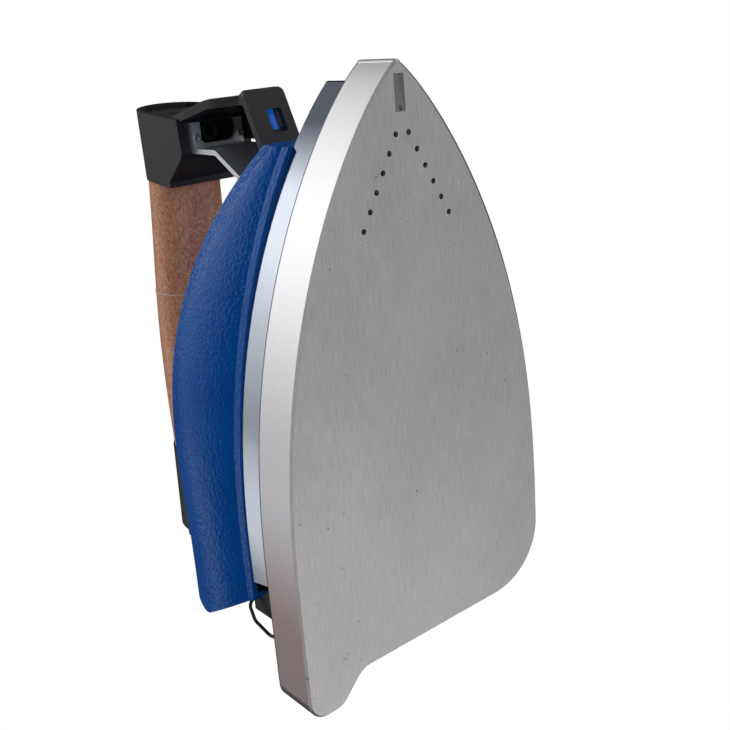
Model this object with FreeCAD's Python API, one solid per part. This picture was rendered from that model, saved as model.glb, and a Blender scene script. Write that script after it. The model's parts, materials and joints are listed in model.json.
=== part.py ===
"""Professional steam generator iron: one STEP file per sub-part.

Frame: the iron rests on its soleplate, whose face lies in the plane z = 0.
+Z points up to the handle and the tip points towards -Y.
The origin is in the middle of the sole face, half way from the tip to the heel.
Lengths are in millimetres. A "station" is the distance from the tip along +Y.
"""

import FreeCAD
import Part
import math
import os

# Driving dimensions
sole_length = 210.7
sole_width = 120.0
sole_height = 18.7
sole_full_width_station = 173.0
sole_plan_power = 2.3
sole_plan_root = 0.838
sole_edge_chamfer = 0.8
heel_corner_radius = 25.0
toe_reach = 10.9
toe_width = 17.0

steam_hole_radius = 1.0
steam_hole_rows = 6
steam_hole_first_station = 23.4
steam_hole_pitch = 5.8
steam_hole_first_offset = 2.8
steam_hole_spread = 3.26
sole_skin = 7.0

cover_inset = 5.0
cover_top = 37.0
cover_sheet = 1.0
cover_end_station = 181.0

shield_wall = 2.2
shield_flare = 5.0
shield_start_station = 26.8
shield_crown = 6.0
shield_strip = 5.0

handle_tilt = 5.3
handle_front_station = 41.0
handle_front_height = 146.5
grip_length = 140.0
grip_end_radius = 15.4
grip_middle_radius = 17.4
grip_film_thickness = 0.25
socket_depth = 5.5
collar_front_radius = 17.6
collar_rear_radius = 16.1

bracket_width = 24.0
bracket_sheet = 2.0

apron_half_width = 9.2
apron_window_sides = (-1.8, 5.2)

button_station = 25.0
button_radius = 5.4
button_travel = 1.8

dial_station = 120.0
dial_radius = 18.0
spindle_radius = 3.0

chamber_inset = 19.0
chamber_end = 112.0
chamber_lid_inset = 15.5
chamber_lid_thickness = 3.0
gasket_thickness = 0.8
heater_radius = 3.6
heater_height = 13.6
heater_bend = 9.0
heater_route = [(-50, 198), (-50, 140), (-40, 84), (-27, 52), (-8, 18)]

pillar_places = [(-8, 76), (8, 76), (-8, 167), (8, 167)]
thermostat_screw_places = [(-18, 120), (18, 120)]
fuse_screw_places = [(28, 140)]
box_screw_places = [(-33, 186.5), (-33, 195.5)]
lid_screw_places = [(-21.5, 60), (21.5, 60), (-35.5, 100), (35.5, 100)]
shield_post_places = [(0, 94), (0, 150)]

steam_pipe_radius = 4.0
steam_pipe_wall = 0.8
steam_pipe_foot = (16.0, 100.0)
steam_pipe_height = 29.0
nipple_station = 206.0
nipple_height = 50.0
nipple_offset = 22.0

shield_end_low = 190.0
shield_end_high = 207.5
shield_section_stations = [22, 34, 48, 66, 88, 112, 140, 170, 190, 212]
front_slot = (42.0, 56.0)
rear_slot = (183.0, 190.0)

collar_front = 17.0
collar_rear = 46.5
collar_floor = 116.0
front_web = 38.0
rear_collar_front = 176.0
rear_cap_end = 222.0
rear_cap_floor = 132.0
rear_web_start = 181.0
rear_web_end = 184.0
handle_tube_radius = 7.0
handle_rod_radius = 4.0

rear_tab_screws = [(-8, 203), (8, 203)]
rear_leg_station = 186.5

switch_floor = 133.0
switch_top = 144.6
cover_plate_station = 19.4
cover_plate_thickness = 1.5
lead_nut_place = (-0.5, 26.0)
lead_nut_bore = 2.2
tab_screw_places = [(-10.2, 27.6), (10.5, 27.6)]

spring_pitch = 1.95
spring_turns = 4
spring_coil = 3.7
spring_wire = 0.4

lamp_offset = 2.6
lamp_radius = 1.7
gland_offset = -24.0
gland_height = 38.0
lead_radius = 0.65

X = FreeCAD.Vector(1, 0, 0)
Y = FreeCAD.Vector(0, 1, 0)
Z = FreeCAD.Vector(0, 0, 1)


def at(x, station, z):
    """Point at a side offset, a distance from the tip and a height."""
    return FreeCAD.Vector(x, station - sole_length / 2, z)


def save(name, shape):
    """Write one sub-part."""
    shape.exportStep("parts/" + name + ".step")


def box(x0, x1, s0, s1, z0, z1):
    """Box between two side offsets, two stations and two heights."""
    return Part.makeBox(x1 - x0, s1 - s0, z1 - z0, at(x0, s0, z0))


def rod(start, direction, radius, length):
    """Solid cylinder."""
    return Part.makeCylinder(radius, length, start, direction)


def ring(start, direction, outer, inner, length):
    """Hollow cylinder."""
    return rod(start, direction, outer, length).cut(rod(start, direction, inner, length))


def hexagon(start, direction, across_flats, length):
    """Hexagonal bar, as in a nut or a bolt head."""
    radius = across_flats / math.sqrt(3)
    turn = FreeCAD.Rotation(Z, direction)
    corners = []
    for i in range(7):
        angle = math.radians(60 * i)
        corner = FreeCAD.Vector(radius * math.cos(angle), radius * math.sin(angle), 0)
        corners.append(start + turn.multVec(corner))
    return Part.Face(Part.makePolygon(corners)).extrude(direction * length)


def rounded_wire(corners):
    """Closed wire through (point, radius) corners, with tangent arcs at the corners."""
    entries = []
    count = len(corners)
    for i in range(count):
        point, radius = corners[i]
        before = corners[i - 1][0]
        after = corners[(i + 1) % count][0]
        entries.append(corner_arc(before, point, after, radius))
    edges = []
    for i in range(count):
        leave = entries[i][2]
        enter = entries[(i + 1) % count][0]
        if entries[i][1] is not None:
            edges.append(Part.Arc(*entries[i]).toShape())
        if leave.distanceToPoint(enter) > 1e-6:
            edges.append(Part.LineSegment(leave, enter).toShape())
    return Part.Wire(edges)


def corner_arc(before, point, after, radius):
    """Start, middle and end of the arc that rounds one corner."""
    if radius <= 0:
        return point, None, point
    back = (before - point).normalize()
    ahead = (after - point).normalize()
    half = back.getAngle(ahead) / 2
    reach = radius / math.tan(half)
    middle_direction = (back + ahead).normalize()
    middle = point + middle_direction * (radius / math.sin(half) - radius)
    return point + back * reach, middle, point + ahead * reach


def path_wire(points, radius):
    """Open wire of straight runs joined by tangent arcs."""
    edges = []
    last = points[0]
    for i in range(1, len(points) - 1):
        start, middle, end = corner_arc(points[i - 1], points[i], points[i + 1], radius)
        edges.append(Part.LineSegment(last, start).toShape())
        edges.append(Part.Arc(start, middle, end).toShape())
        last = end
    edges.append(Part.LineSegment(last, points[-1]).toShape())
    return Part.Wire(edges)


def bent_rod(points, radius, bend):
    """Round bar or wire that follows a path of runs and arcs."""
    path = path_wire(points, bend)
    along = (points[1] - points[0]).normalize()
    circle = Part.Wire(Part.Circle(points[0], along, radius).toShape())
    return path.makePipeShell([circle], True, True)


def side_prism(corners, x0, x1):
    """Solid whose side view is an outline of (station, height, corner radius)."""
    outline = rounded_wire([(at(x0, s, z), r) for s, z, r in corners])
    return Part.Face(outline).extrude(X * (x1 - x0))


def plan_prism(corners, z0, z1):
    """Solid whose plan is an outline of (side offset, station, corner radius)."""
    outline = rounded_wire([(at(x, s, z0), r) for x, s, r in corners])
    return Part.Face(outline).extrude(Z * (z1 - z0))


# Plan of the sole

def sole_half_width(station):
    """Half width of the sole at a distance from the tip."""
    share = max(0.0, 1 - station / sole_full_width_station)
    return sole_width / 2 * (1 - share ** sole_plan_power) ** sole_plan_root


def inset_point(station, inset):
    """Side offset and station of a point moved inwards square to the sole's edge."""
    step = 0.05
    slope = (sole_half_width(station + step) - sole_half_width(station - step)) / (2 * step)
    size = math.hypot(1, slope)
    return sole_half_width(station) - inset / size, station + inset * slope / size


def side_curve(inset, first, last, z, side):
    """Smooth edge parallel to the sole's side, from its first to its last station."""
    count = 16
    points = []
    for i in range(count):
        share = (i / (count - 1)) ** 1.6
        x, s = inset_point(first + (last - first) * share, inset)
        points.append(at(side * x, s, z))
    curve = Part.BSplineCurve()
    curve.interpolate(points)
    return curve.toShape(), points[0], points[-1]


def tip_station(inset):
    """Station on the sole's edge where the inset edge comes 1.6 mm from the axis."""
    low = 0.6
    high = 60.0
    for _ in range(40):
        middle = (low + high) / 2
        if inset_point(middle, inset)[0] > 1.6:
            high = middle
        else:
            low = middle
    return high


def plan_face(inset, end_station, z, heel=None):
    """Face with the sole's plan, moved inwards, cut off square or with the heel's edges."""
    first = tip_station(inset)
    last = min(sole_full_width_station, end_station)
    left, left_tip, left_end = side_curve(inset, first, last, z, -1)
    right, right_tip, right_end = side_curve(inset, first, last, z, 1)
    nose = at(0, left_tip.y + sole_length / 2 - 1.0, z)
    edges = [left, Part.Arc(left_tip, nose, right_tip).toShape(), right]
    if heel is None:
        corners = [right_end, left_end]
        if end_station > sole_full_width_station:
            half = sole_width / 2 - inset
            corners[1:1] = [at(half, end_station, z), at(-half, end_station, z)]
        for a, b in zip(corners, corners[1:]):
            edges.append(Part.LineSegment(a, b).toShape())
    else:
        edges.extend(heel(right_end, left_end, z))
    return Part.Face(Part.Wire(Part.__sortEdges__(edges)))


def heel_edges(right_end, left_end, z):
    """Heel with one round corner and, on the -X side, the raised-edge toe."""
    half = sole_width / 2
    back = sole_length
    reach = toe_reach
    corners = [
        (right_end, 0),
        (at(half, back, z), heel_corner_radius),
        (at(-half + toe_width + 8, back, z), 9.0),
        (at(-half + toe_width - 2.5, back + reach, z), 7.5),
        (at(-half, back + reach, z), 8.0),
        (left_end, 0),
    ]
    edges = []
    last = right_end
    for i in range(1, len(corners) - 1):
        start, middle, end = corner_arc(
            corners[i - 1][0], corners[i][0], corners[i + 1][0], corners[i][1])
        edges.append(Part.LineSegment(last, start).toShape())
        edges.append(Part.Arc(start, middle, end).toShape())
        last = end
    edges.append(Part.LineSegment(last, left_end).toShape())
    return edges


# Soleplate, steam chamber and heating


def chamber_outline(inset, end_station, z0, z1):
    """Solid with the plan of the steam chamber."""
    return plan_face(inset, end_station, z0).extrude(Z * (z1 - z0))


def heater_points():
    """Centre line of the heating element, from one terminal round the tip to the other."""
    left = [at(x, s, heater_height) for x, s in heater_route]
    right = [at(-x, s, heater_height) for x, s in reversed(heater_route)]
    return left + right


def heater_groove():
    """Open-topped groove in the casting that the heating element lies in."""
    points = heater_points()
    path = path_wire(points, heater_bend)
    half = heater_radius + 0.05
    start = points[0]
    left = start + X * -half
    right = start + X * half
    lift = Z * (sole_height + 1 - heater_height)
    bottom = Part.Arc(left, start - Z * half, right).toShape()
    walls = Part.makePolygon([right, right + lift, left + lift, left]).Edges
    profile = Part.Wire([bottom] + walls)
    return path.makePipeShell([profile], True, False)


def soleplate():
    """Aluminium casting with steam holes, tip pocket, steam chamber and heater groove."""
    body = plan_face(0, sole_length, 0, heel_edges).extrude(Z * sole_height)
    lower_edges = [e for e in body.Edges if e.BoundBox.ZMax < 0.01]
    body = body.makeChamfer(sole_edge_chamfer, lower_edges)
    chamber_top = sole_height - chamber_lid_thickness - gasket_thickness
    body = body.cut(chamber_outline(chamber_inset, chamber_end, sole_skin, sole_height + 1))
    body = body.cut(chamber_outline(chamber_lid_inset, chamber_end + 4, chamber_top, sole_height + 1))
    body = body.cut(heater_groove())
    for row in range(steam_hole_rows):
        station = steam_hole_first_station + row * steam_hole_pitch
        offset = steam_hole_first_offset + row * steam_hole_spread
        for side in (-1, 1):
            body = body.cut(rod(at(side * offset, station, -1), Z, steam_hole_radius, sole_skin + 2))
    fan = plan_prism([(-5, 21.8, 0), (5, 21.8, 0), (24.5, 56.5, 0), (-24.5, 56.5, 0)],
                     sole_skin, sole_skin + 2.4)
    body = body.cut(fan)
    tip_pocket = side_prism([(4.5, -1, 0), (16.6, -1, 0), (16.6, 0.25, 0), (4.5, 1.4, 0)], -2.2, 2.2)
    body = body.cut(tip_pocket)
    body = body.cut(rod(at(0.4, 15.4, -1), Z, 0.8, 5))
    for side in (-1, 1):
        x = side * -heater_route[0][0]
        body = body.cut(box(x - 5, x + 5, 197, 208, heater_height - 4, sole_height + 1))
    for x, station in pillar_places[:2]:
        boss = rod(at(x, station, sole_skin - 1), Z, 4.5, sole_height - sole_skin + 1)
        body = body.fuse(boss)
    for x, station in pillar_places:
        body = body.cut(rod(at(x, station, sole_height - 9), Z, 2.05, 10))
    small_screws = thermostat_screw_places + fuse_screw_places + box_screw_places
    for x, station in small_screws + lid_screw_places:
        body = body.cut(rod(at(x, station, sole_height - 9), Z, 1.55, 10))
    return body


def heating_element():
    """Sheathed tubular element bent round the steam chamber, with its two ends."""
    return bent_rod(heater_points(), heater_radius, heater_bend)


def heater_terminals():
    """Threaded connection pins of the element, one at each end."""
    pins = []
    for side in (-1, 1):
        start = at(side * heater_route[0][0] * -1, heater_route[0][1], heater_height)
        pin = rod(start, Y, 1.5, 7.5)
        collar = rod(start, Y, 3.0, 2.5)
        pins.append(collar.fuse(pin).removeSplitter())
    return Part.Compound(pins)


def chamber_gasket():
    """Flat seal under the chamber lid."""
    low = sole_height - chamber_lid_thickness - gasket_thickness
    high = sole_height - chamber_lid_thickness
    seal = chamber_outline(chamber_lid_inset + 0.1, chamber_end + 3.9, low, high)
    seal = seal.cut(chamber_outline(chamber_inset, chamber_end, low - 1, high + 1))
    for x, station in lid_screw_places:
        seal = seal.cut(rod(at(x, station, low - 1), Z, 1.6, 5))
    return seal


def chamber_lid():
    """Plate that closes the steam chamber, with the steam inlet hole."""
    low = sole_height - chamber_lid_thickness
    lid = chamber_outline(chamber_lid_inset + 0.1, chamber_end + 3.9, low, sole_height)
    x, station = steam_pipe_foot
    lid = lid.cut(rod(at(x, station, low - 1), Z, steam_pipe_radius, 5))
    for side, place in pillar_places[:2]:
        lid = lid.cut(rod(at(side, place, low - 1), Z, 4.6, 5))
    for side, place in lid_screw_places:
        lid = lid.cut(rod(at(side, place, low - 1), Z, 1.6, 5))
    return lid


def steam_pipe():
    """Copper pipe from the chamber lid back to the hose nipple."""
    x, station = steam_pipe_foot
    low = sole_height - chamber_lid_thickness
    points = [
        at(x, station, low),
        at(x, station, steam_pipe_height),
        at(x + 6, 186, steam_pipe_height),
        at(nipple_offset, 194, nipple_height),
        at(nipple_offset, nipple_station, nipple_height),
    ]
    outer = bent_rod(points, steam_pipe_radius, 7.0)
    inner = bent_rod(points, steam_pipe_radius - steam_pipe_wall, 7.0)
    return outer.cut(inner)


def hose_nipple():
    """Brass hose tail on the end of the steam pipe."""
    start = at(nipple_offset, nipple_station, nipple_height)
    nut = hexagon(start, Y, 14.0, 7.0)
    tail = rod(start + Y * 7.0, Y, 5.0, 15.0)
    lead_in = Part.makeCone(5.0, 4.2, 3.0, start + Y * 22.0, Y)
    bore = rod(start - Y, Y, 3.2, 30.0)
    return nut.fuse(tail).fuse(lead_in).removeSplitter().cut(bore)


def thermostat_body():
    """Thermostat housing screwed flat on the casting."""
    top = cover_top - cover_sheet - 1.0
    plate = box(-24, 24, 113, 127, sole_height, sole_height + 2)
    drum = rod(at(0, dial_station, sole_height + 2), Z, 13.0, top - sole_height - 2)
    body = plate.fuse(drum).removeSplitter()
    for x, station in thermostat_screw_places:
        body = body.cut(rod(at(x, station, sole_height - 1), Z, 1.6, 4))
    return body.cut(rod(at(0, dial_station, sole_height + 4), Z, spindle_radius + 0.05, 20))


def button_head_screws(places, z, head_radius, head_height, shank_radius, shank_length):
    """Group of identical screws that stand head up at one height."""
    screws = []
    for x, station in places:
        head = rod(at(x, station, z), Z, head_radius, head_height)
        shank = rod(at(x, station, z - shank_length), Z, shank_radius, shank_length)
        socket = hexagon(at(x, station, z + head_height * 0.4), Z, head_radius * 0.8, head_height)
        screws.append(head.fuse(shank).removeSplitter().cut(socket))
    return Part.Compound(screws)


def thermal_fuse():
    """Safety cut-out in its clip, flat on the casting."""
    clip = box(22, 34, 134, 146, sole_height, sole_height + 1.2)
    can = rod(at(28, 150, sole_height + 4.2), Y, 4.2, 14)
    lug = box(24, 32, 144, 151, sole_height, sole_height + 1.2)
    fuse = clip.fuse(lug).fuse(can).removeSplitter()
    return fuse.cut(rod(at(28, 140, sole_height - 1), Z, 1.6, 4))


# Cover over the casting


def body_cover():
    """Bright sheet cover: side walls that stand on the casting, and a top."""
    height = cover_top - sole_height
    outer = plan_face(cover_inset, cover_end_station, sole_height).extrude(Z * height)
    inner_face = plan_face(cover_inset + cover_sheet, cover_end_station + 5, sole_height - 1)
    cover = outer.cut(inner_face.extrude(Z * height))
    for x, station in pillar_places:
        cover = cover.cut(rod(at(x, station, cover_top - 3), Z, 2.6, 5))
    for x, station in shield_post_places:
        cover = cover.cut(rod(at(x, station, cover_top - 3), Z, 2.05, 5))
    cover = cover.cut(side_prism([
        (177.0, sole_height - 1, 0), (210.0, sole_height - 1, 0), (210.0, cover_top + 1, 0),
        (cover_end_station, cover_top + 1, 0),
    ], -70, 70))
    return cover.cut(rod(at(0, dial_station, cover_top - 3), Z, spindle_radius + 1.5, 5))


def cover_pillars():
    """Steel sleeves between the casting and the cover, one on each bracket screw."""
    length = cover_top - cover_sheet - sole_height
    sleeves = [ring(at(x, s, sole_height), Z, 4.5, 2.6, length) for x, s in pillar_places]
    return Part.Compound(sleeves)


def shield_posts():
    """Hexagonal posts that stand on the cover and carry the shield."""
    posts = []
    for x, station in shield_post_places:
        top = shield_top(station) + shield_crown - shield_wall
        post = hexagon(at(x, station, cover_top), Z, 8.0, top - cover_top - 1.0)
        stud = rod(at(x, station, cover_top - 3.5), Z, 2.0, 3.5)
        hole = rod(at(x, station, top - 12), Z, 2.0, 14)
        posts.append(post.fuse(stud).cut(hole))
    return Part.Compound(posts)


# Shield


def shield_top(station):
    """Height of the shield's upper side edge, highest in the middle of its length."""
    share = (station - 118.0) / 92.0
    if share < 0:
        return 79.0 - 26.0 * abs(share) ** 2.8
    return 79.0 - 5.4 * math.sin(min(1.0, share / 0.55) * math.pi / 2) ** 2


def shield_section(station, inset, floor):
    """Closed cross-section of the shield, moved inwards by its wall for the inside."""
    base, _ = inset_point(station, cover_inset - 0.6)
    base = base - inset
    flare = shield_flare * min(1.0, max(0.0, (station - 20) / 80))
    wide = base + flare - 0.6
    top = shield_top(station) - inset
    crease = top + inset - shield_strip
    crown = shield_crown * min(1.0, wide / 50)
    half = [
        (base, floor), (base, cover_top + 4.0), (base - 0.7, cover_top + 4.2),
        (wide, crease), (wide - 0.9, top),
    ]
    knee_height = cover_top + 4.2 + (crease - cover_top - 4.2) * 0.45
    knee_offset = base - 0.7 + (wide - base + 0.7) * 0.78 + 0.9
    right = [at(x, station, z) for x, z in half]
    left = [at(-x, station, z) for x, z in half]
    knee_right = at(knee_offset, station, knee_height)
    knee_left = at(-knee_offset, station, knee_height)
    edges = [
        Part.LineSegment(right[0], right[1]).toShape(),
        Part.LineSegment(right[1], right[2]).toShape(),
        Part.Arc(right[2], knee_right, right[3]).toShape(),
        Part.LineSegment(right[3], right[4]).toShape(),
        Part.Arc(right[4], at(0, station, top + crown), left[4]).toShape(),
        Part.LineSegment(left[4], left[3]).toShape(),
        Part.Arc(left[3], knee_left, left[2]).toShape(),
        Part.LineSegment(left[2], left[1]).toShape(),
        Part.LineSegment(left[1], left[0]).toShape(),
        Part.LineSegment(left[0], right[0]).toShape(),
    ]
    return Part.Wire(edges)


def shield_block(inset, floor):
    """Solid with the shield's outer or inner form, before its ends are trimmed."""
    sections = [shield_section(s, inset, floor) for s in shield_section_stations]
    return Part.makeLoft(sections, True, False)


def shield_side_form(inset, floor):
    """Side view of the shield: square front, leaning back end with a round corner."""
    lean = (shield_end_high - shield_end_low) / (72.0 - 40.0)
    top = 100.0
    corner = 9.0 - inset
    back_top = shield_end_low - inset + (76.0 - 40.0) * lean
    return side_prism([
        (shield_start_station + inset, floor, 0),
        (shield_end_low - inset + (floor - 40.0) * lean, floor, 0),
        (back_top, 75.0 - inset, corner),
        (back_top - 30.0, 79.0 - inset, 20.0),
        (back_top - 60.0, top, 0),
        (shield_start_station + inset, top, 0),
    ], -70, 70)


def heat_shield():
    """Moulded shield over the cover, with slots for the brackets and a rear opening."""
    outer = shield_block(0, cover_top + 0.1).common(shield_side_form(0, cover_top + 0.1))
    inner = shield_block(shield_wall, cover_top - 2).common(shield_side_form(shield_wall, cover_top - 2))
    shield = outer.cut(inner)
    shield = shield.cut(box(-14, 14, front_slot[0], front_slot[1], 60, 90))
    shield = shield.cut(box(-14, 14, rear_slot[0], rear_slot[1], 60, 90))
    shield = shield.cut(rod(at(0, dial_station, 60), Z, spindle_radius + 2, 40))
    for x, station in shield_post_places:
        shield = shield.cut(rod(at(x, station, 60), Z, 2.2, 40))
    return shield.cut(box(-50.5, 40, 185, 215, 36, 60))


# Handle


def handle_height(station):
    """Height of the handle's leaning axis."""
    rise = math.tan(math.radians(handle_tilt))
    return handle_front_height + (station - handle_front_station) * rise


def on_handle(station, x=0.0, lift=0.0):
    """Point on the handle's axis, or beside it, at a station."""
    return at(x, station, handle_height(station) + lift)


def handle_direction():
    """Unit vector along the handle, towards the heel."""
    angle = math.radians(handle_tilt)
    return FreeCAD.Vector(0, math.cos(angle), math.sin(angle))


def handle_length(first, last):
    """Distance along the handle's axis between two stations."""
    return (last - first) / math.cos(math.radians(handle_tilt))


def grip_profile(extra):
    """Half outline of the grip: slim ends and a fuller middle."""
    start = on_handle(handle_front_station)
    along = handle_direction()
    up = X.cross(along).normalize()
    radii = [grip_end_radius, grip_end_radius + 0.9, grip_middle_radius,
             grip_middle_radius - 0.4, grip_end_radius]
    count = len(radii)
    points = []
    for i in range(count):
        share = i / (count - 1)
        points.append(start + along * (grip_length * share) + up * (radii[i] + extra))
    return start, along, points


def grip_solid(extra):
    """Barrel-shaped solid of the grip, or of the film over it."""
    start, along, points = grip_profile(extra)
    curve = Part.BSplineCurve()
    curve.interpolate(points)
    end = start + along * grip_length
    edges = [
        Part.LineSegment(start, points[0]).toShape(),
        curve.toShape(),
        Part.LineSegment(points[-1], end).toShape(),
        Part.LineSegment(end, start).toShape(),
    ]
    return Part.Face(Part.Wire(edges)).revolve(start, along, 360)


def cork_grip():
    """Cork grip, bored for the handle tube."""
    start = on_handle(handle_front_station)
    bore = rod(start - handle_direction(), handle_direction(), handle_tube_radius, grip_length + 2)
    return grip_solid(0).cut(bore)


def grip_film():
    """Clear shrunk-on film over the open stretch of the grip."""
    along = handle_direction()
    film = grip_solid(grip_film_thickness).cut(grip_solid(0))
    first = handle_front_station + socket_depth + 0.5
    last = rear_collar_front - 0.5
    window = rod(on_handle(first), along, 30, handle_length(first, last))
    return film.common(window)


def handle_tube():
    """Steel tube through the cork."""
    start = on_handle(handle_front_station)
    return ring(start, handle_direction(), handle_tube_radius, handle_tube_radius - 1.0, grip_length)


def handle_rod():
    """Threaded rod that draws both end caps on to the grip."""
    return rod(on_handle(31.2), handle_direction(), handle_rod_radius, handle_length(31.2, 193.0))


def handle_nuts():
    """Nuts on the two ends of the handle rod."""
    front = hexagon(on_handle(front_web), handle_direction() * -1, 13.0, 6.0)
    rear = hexagon(on_handle(rear_web_end), handle_direction(), 13.0, 6.0)
    nuts = []
    for nut, station in ((front, front_web), (rear, rear_web_end)):
        hole = rod(on_handle(station - 10), handle_direction(), handle_rod_radius, 20)
        nuts.append(nut.cut(hole))
    return Part.Compound(nuts)


def collar_section(station, radius, depth):
    """Arch-shaped section across the handle: round on top, with flat sides."""
    centre = on_handle(station)
    up = X.cross(handle_direction()).normalize()
    right = centre + X * radius
    left = centre - X * radius
    edges = [
        Part.Arc(right, centre + up * radius, left).toShape(),
        Part.LineSegment(left, left - up * depth).toShape(),
        Part.LineSegment(left - up * depth, right - up * depth).toShape(),
        Part.LineSegment(right - up * depth, right).toShape(),
    ]
    return Part.Wire(edges)


def collar_bar(first_radius, last_radius, depth, first, last):
    """Bar along the handle: round on top, with flat sides that reach down."""
    sections = [collar_section(first, first_radius, depth), collar_section(last, last_radius, depth)]
    return Part.makeLoft(sections, True, True)


def apron_height(station):
    """Height of the underside of the sloping apron below the front wall."""
    return 78.7 - 0.47 * (station - 8.3)


def front_cap():
    """Front moulding: collar round the grip, tapered front wall and a sloping apron."""
    collar = collar_bar(collar_front_radius, collar_rear_radius, 40, collar_front, collar_rear)
    collar = collar.common(side_prism([
        (collar_front - 5, collar_floor, 0), (34, collar_floor, 4), (45.5, 130.5, 0),
        (52, 130.5, 0), (52, 190, 0), (collar_front - 8, 190, 0),
    ], -30, 30))
    low_end = 34.5
    wall = side_prism([
        (22.0, 122.0, 0), (19.0, 122.0, 0), (16.0, 112.0, 20), (11.7, 97.0, 40),
        (10.8, 80.6, 1), (9.0, 80.0, 0.5), (9.0, apron_height(9.0), 0.6),
        (low_end, apron_height(low_end), 0), (low_end, apron_height(low_end) + 3.0, 0),
        (14.2, apron_height(14.2) + 3.0, 1.5), (15.4, 97.0, 20), (19.4, 112.0, 0),
        (21.4, 118.0, 0), (22.0, 118.0, 0),
    ], -collar_front_radius, collar_front_radius)
    taper = rounded_wire([
        (at(-16.8, 0, 130), 0), (at(-16.2, 0, 112), 30), (at(-13.6, 0, 94), 30),
        (at(-apron_half_width, 0, 81), 4), (at(-apron_half_width, 0, 55), 0),
        (at(apron_half_width, 0, 55), 0), (at(apron_half_width, 0, 81), 4),
        (at(13.6, 0, 94), 30), (at(16.2, 0, 112), 30), (at(16.8, 0, 130), 0),
    ])
    side_web = side_prism([
        (12.0, 80.0, 0), (30.6, apron_height(30.6) + 1.0, 0), (30.6, 117.0, 0), (19.4, 117.0, 0),
        (13.8, 97.0, 0),
    ], apron_half_width - 2.6, collar_front_radius)
    clear_side = Part.Face(taper).extrude(Y * 60)
    clear_side.translate(X * -2.6)
    side_web = side_web.cut(clear_side)
    wall = wall.fuse(side_web).common(Part.Face(taper).extrude(Y * 60))
    for side in (-1, 1):
        edge = side * apron_half_width
        corner = box(min(edge, edge - side * 2.5), max(edge, edge - side * 2.5), 8.0, 11.5, 60, 82)
        corner = corner.cut(rod(at(edge - side * 2.5, 11.5, 60), Z, 2.5, 25))
        wall = wall.cut(corner)
    cap = collar.fuse(wall).removeSplitter()
    left, right = apron_window_sides
    window = plan_prism([
        (left, 16.6, 1), (right, 16.6, 1), (right, 25.0, 1), (left, 25.0, 1),
    ], 60, 79.5)
    cap = cap.cut(window)
    socket = rod(on_handle(handle_front_station), handle_direction(), grip_end_radius + 0.15, 20)
    cap = cap.cut(socket)
    cap = cap.cut(rod(on_handle(30), handle_direction(), handle_rod_radius + 0.3, 20))
    cap = cap.cut(rod(on_handle(front_web), handle_direction() * -1, 7.8, 8))
    cap = cap.cut(box(-11.5, 11.5, 10, front_web - 0.6, switch_floor, 156.0))
    cap = cap.cut(cover_recess(0, 10))
    cap = cap.cut(rod(at(0, button_station, 150), Z, button_radius + 0.1, 20))
    cap = cap.cut(tab_opening(21.9, collar_floor - 1, collar_floor + 12))
    x, station = lead_nut_place
    cap = cap.cut(rod(at(x, station, collar_floor + 8), Z, lead_nut_bore, 12))
    for x, station in tab_screw_places:
        cap = cap.cut(rod(at(x, station, collar_floor - 1), Z, 1.0, 8))
    return cap


def tab_opening(front, low, high):
    """Space for the leads: through the bracket's tab and up into the collar."""
    return plan_prism([
        (-8.0, front, 0), (9.0, front, 0), (9.0, 30.0, 4.8), (-8.0, 30.0, 2.0),
    ], low, high)


def cover_recess(gap, front):
    """Space for the switch cover: the collar's section, inset, above the switch floor."""
    radius = collar_front_radius - 2.6 - gap
    bar = collar_bar(radius, radius, 12.0 - gap, front, 26)
    keep = box(-30, 30, 0, cover_plate_station, 100, 200)
    return bar.common(keep)


def switch_cover():
    """Plate that closes the switch pocket, sunk in the collar's front face."""
    keep = box(-30, 30, cover_plate_station - cover_plate_thickness, 60, 100, 200)
    plate = cover_recess(0.1, 10).common(keep)
    for x in (-12.9, 12.9):
        plate = plate.cut(rod(at(x, 0, 146) + Y * 10, Y, 0.9, 20))
    return plate


def lead_nut():
    """Hexagonal nut in the collar's pocket that holds the leads from the handle."""
    x, station = lead_nut_place
    nut = hexagon(at(x, station, collar_floor + 4.0), Z, 7.6, 8.0)
    return nut.cut(rod(at(x, station, collar_floor), Z, lead_nut_bore, 14))


def tab_screws():
    """Small screws that hold the bracket's tab under the collar."""
    low = collar_floor - bracket_sheet
    screws = []
    for x, station in tab_screw_places:
        head = rod(at(x, station, low - 1.0), Z, 1.45, 1.0)
        shank = rod(at(x, station, low), Z, 1.0, 8.5)
        socket = hexagon(at(x, station, low - 1.5), Z, 1.2, 1.0)
        screws.append(head.fuse(shank).removeSplitter().cut(socket))
    return Part.Compound(screws)


def steam_button():
    """Thumb button on top of the collar, with its stem and a flange with a flat front."""
    cap = rod(at(0, button_station, 157.0), Z, button_radius, 9.0)
    dome = Part.makeSphere(12.0, at(0, button_station, 155.6))
    flange = rod(at(0, button_station, 153.6), Z, 6.1, 2.2)
    flange = flange.cut(box(-10, 10, 10, cover_plate_station + 0.2, 150, 160))
    stem = rod(at(0, button_station, switch_top + button_travel + 1.1), Z, 2.6, 8.0)
    neck = rod(at(0, button_station, 153.6), Z, button_radius - 0.4, 5.0)
    return cap.common(dome).fuse(flange).fuse(neck).fuse(stem).removeSplitter()


def steam_switch():
    """Microswitch under the button."""
    body = box(-10, 10, 20.4, 29.6, switch_floor + 0.1, switch_top)
    body = body.cut(rod(at(0, button_station, switch_top - 6), Z, 1.25, 8))
    for x in (-7.5, 0, 7.5):
        tag = box(x - 1.6, x + 1.6, 29.6, 30.4, switch_floor + 1.0, switch_floor + 4.5)
        body = body.fuse(tag)
    return body.removeSplitter()


def switch_plunger():
    """Plunger that the button's stem pushes into the switch."""
    return rod(at(0, button_station, switch_top - 3.4), Z, 1.2, 6.2)


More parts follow.
